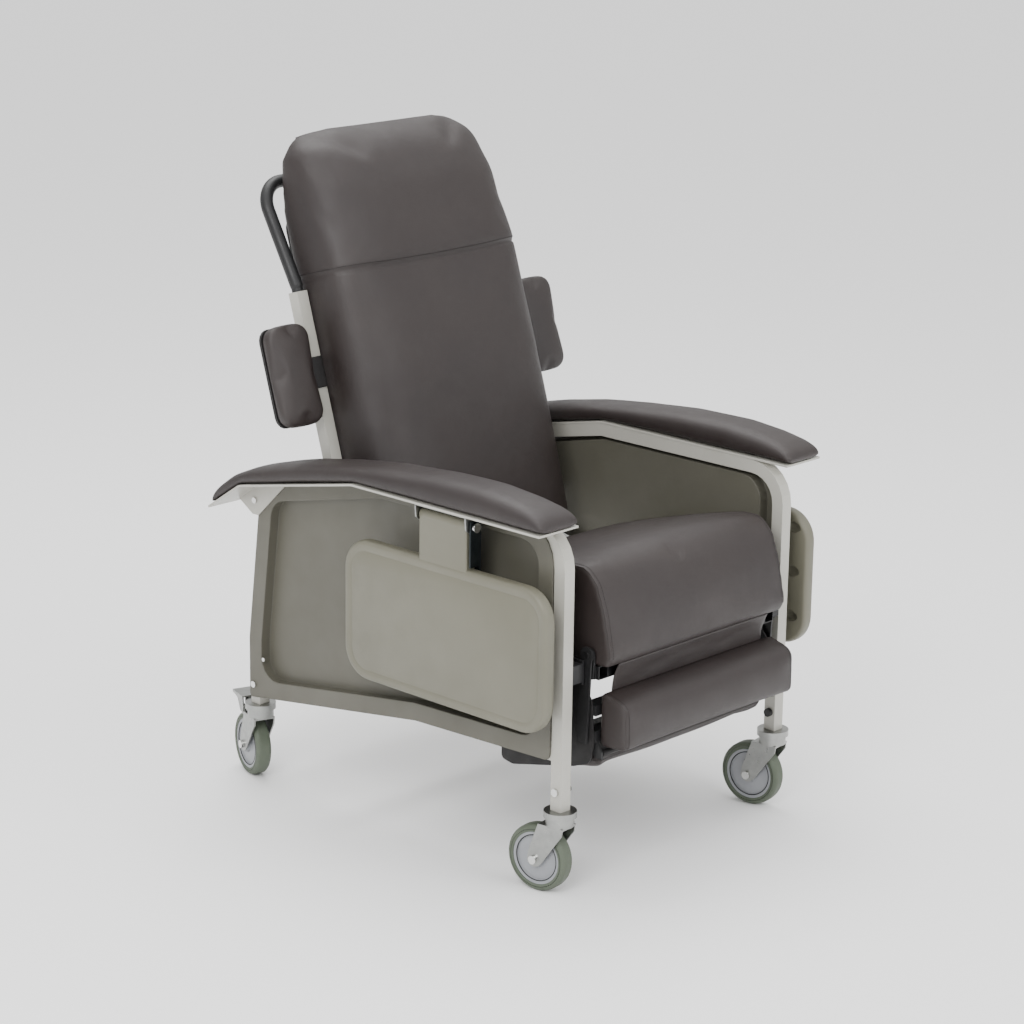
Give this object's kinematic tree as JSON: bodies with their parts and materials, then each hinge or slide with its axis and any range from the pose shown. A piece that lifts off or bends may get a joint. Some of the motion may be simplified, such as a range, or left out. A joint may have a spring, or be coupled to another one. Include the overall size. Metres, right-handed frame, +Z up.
{
  "type": "patient recliner chair",
  "caption": "Reclining patient chair on swivel casters with padded arms, headrest wings, a folding legrest, drop-down side trays and a push handle.",
  "frame": {"origin": "on the floor, at the centre of the bounding box's footprint", "axes": "+Z up; -Y the front, where the legrest is; -X the occupant's right side"},
  "size_m": [0.786, 1.0125, 1.297],
  "materials": {
    "vinyl": "soft satin, fine grain",
    "backing": "matte",
    "frame_paint": "smooth powder coat",
    "panel_plastic": "fine moulded texture",
    "tray_plastic": "fine moulded texture",
    "zinc": "zinc plated",
    "chrome": "bright",
    "handle_black": "satin",
    "hub_grey": "moulded",
    "tyre_grey": "matte"
  },
  "bodies": {
    "frame": {"side_frame_right": "frame_paint", "side_frame_left": "frame_paint", "side_panel_right": "panel_plastic", "side_panel_left": "panel_plastic", "arm_plate_right": "frame_paint", "arm_plate_left": "frame_paint", "arm_pad_right": "vinyl", "arm_pad_left": "vinyl", "tray_bracket_right": "zinc", "tray_bracket_left": "zinc", "tray_pin_right": "chrome", "tray_pin_left": "chrome", "cross_tubes": "frame_paint", "pivot_bars": "frame_paint", "seat_guides": "handle_black", "side_bolts": "chrome", "nut_caps": "handle_black", "cup_front_right": "zinc", "cup_front_left": "zinc", "cup_rear_right": "zinc", "cup_rear_left": "zinc"},
    "back": {"back_frame": "frame_paint", "back_board": "backing", "back_cushion": "vinyl", "push_handle": "handle_black"},
    "wing_right": {"wing_pad_right": "vinyl", "wing_bracket_right": "backing"},
    "wing_left": {"wing_pad_left": "vinyl", "wing_bracket_left": "backing"},
    "seat": {"seat_frame": "frame_paint", "seat_cushion": "vinyl", "drag_links": "zinc"},
    "legrest": {"legrest_frame": "handle_black", "legrest_pad": "vinyl", "leg_guards": "backing", "calf_flap": "vinyl"},
    "foot": {"foot_board": "backing", "foot_pad": "vinyl"},
    "tray_right": {"tray_right": "tray_plastic", "tray_strap_right": "zinc"},
    "tray_left": {"tray_left": "tray_plastic", "tray_strap_left": "zinc"},
    "swivel_front_right": {"fork_front_right": "zinc", "axle_front_right": "chrome"},
    "wheel_front_right": {"hub_front_right": "hub_grey", "tyre_front_right": "tyre_grey"},
    "swivel_front_left": {"fork_front_left": "zinc", "axle_front_left": "chrome"},
    "wheel_front_left": {"hub_front_left": "hub_grey", "tyre_front_left": "tyre_grey"},
    "swivel_rear_right": {"fork_rear_right": "zinc", "axle_rear_right": "chrome"},
    "wheel_rear_right": {"hub_rear_right": "hub_grey", "tyre_rear_right": "tyre_grey"},
    "swivel_rear_left": {"fork_rear_left": "zinc", "axle_rear_left": "chrome"},
    "wheel_rear_left": {"hub_rear_left": "hub_grey", "tyre_rear_left": "tyre_grey"},
    "pedal_right": {"brake_pedal_right": "zinc"},
    "pedal_left": {"brake_pedal_left": "zinc"}
  },
  "joints": [
    {"name": "back_recline", "type": "hinge", "parent": "frame", "child": "back", "pos_m": [0, 0.1946, 0.56], "axis": [-1, 0, 0], "range_deg": [0, 40]},
    {"name": "seat_slide", "type": "slide", "parent": "frame", "child": "seat", "axis": [0, -1, 0], "range_m": [0, 0.063]},
    {"name": "legrest_swing", "type": "hinge", "parent": "seat", "child": "legrest", "pos_m": [0, -0.4234, 0.45], "axis": [-1, 0, 0], "range_deg": [0, 80.1], "deforming": ["calf_flap"]},
    {"name": "foot_fold", "type": "hinge", "parent": "legrest", "child": "foot", "pos_m": [0, -0.4434, 0.262], "axis": [-1, 0, 0], "range_deg": [0, 76.1]},
    {"name": "wing_right_height", "type": "slide", "parent": "back", "child": "wing_right", "axis": [0, 0.2924, 0.9563], "range_m": [0, 0.06]},
    {"name": "wing_left_height", "type": "slide", "parent": "back", "child": "wing_left", "axis": [0, 0.2924, 0.9563], "range_m": [0, 0.06]},
    {"name": "tray_right_fold", "type": "hinge", "parent": "frame", "child": "tray_right", "pos_m": [-0.367, -0.1774, 0.672], "axis": [0, 1, 0], "range_deg": [0, 90]},
    {"name": "tray_left_fold", "type": "hinge", "parent": "frame", "child": "tray_left", "pos_m": [0.367, -0.1774, 0.672], "axis": [0, -1, 0], "range_deg": [0, 90]},
    {"name": "swivel_front_right", "type": "hinge", "parent": "frame", "child": "swivel_front_right", "pos_m": [-0.305, -0.4084, 0.145], "axis": [0, 0, 1], "continuous": true},
    {"name": "wheel_front_right", "type": "hinge", "parent": "swivel_front_right", "child": "wheel_front_right", "pos_m": [-0.31085, -0.36681, 0.0635], "axis": [0.9903, 0.1392, 0], "continuous": true},
    {"name": "swivel_front_left", "type": "hinge", "parent": "frame", "child": "swivel_front_left", "pos_m": [0.305, -0.4084, 0.145], "axis": [0, 0, 1], "continuous": true},
    {"name": "wheel_front_left", "type": "hinge", "parent": "swivel_front_left", "child": "wheel_front_left", "pos_m": [0.29915, -0.36681, 0.0635], "axis": [0.9903, 0.1392, 0], "continuous": true},
    {"name": "swivel_rear_right", "type": "hinge", "parent": "frame", "child": "swivel_rear_right", "pos_m": [-0.305, 0.4016, 0.145], "axis": [0, 0, 1], "continuous": true},
    {"name": "wheel_rear_right", "type": "hinge", "parent": "swivel_rear_right", "child": "wheel_rear_right", "pos_m": [-0.29133, 0.44131, 0.0635], "axis": [0.9455, -0.3256, 0], "continuous": true},
    {"name": "swivel_rear_left", "type": "hinge", "parent": "frame", "child": "swivel_rear_left", "pos_m": [0.305, 0.4016, 0.145], "axis": [0, 0, 1], "continuous": true},
    {"name": "wheel_rear_left", "type": "hinge", "parent": "swivel_rear_left", "child": "wheel_rear_left", "pos_m": [0.29627, 0.44268, 0.0635], "axis": [0.9781, 0.2079, 0], "continuous": true},
    {"name": "pedal_right", "type": "hinge", "parent": "swivel_rear_right", "child": "pedal_right", "pos_m": [-0.29263, 0.43753, 0.142], "axis": [-0.9455, 0.3256, 0], "range_deg": [0, 5]},
    {"name": "pedal_left", "type": "hinge", "parent": "swivel_rear_left", "child": "pedal_left", "pos_m": [0.2971, 0.43877, 0.142], "axis": [-0.9781, -0.2079, 0], "range_deg": [0, 5]}
  ],
  "couplings": [
    {"joint": "seat_slide", "follows": "back_recline", "m_per_rad": 0.09},
    {"joint": "legrest_swing", "follows": "back_recline", "ratio": 2},
    {"joint": "foot_fold", "follows": "back_recline", "ratio": 1.9}
  ]
}
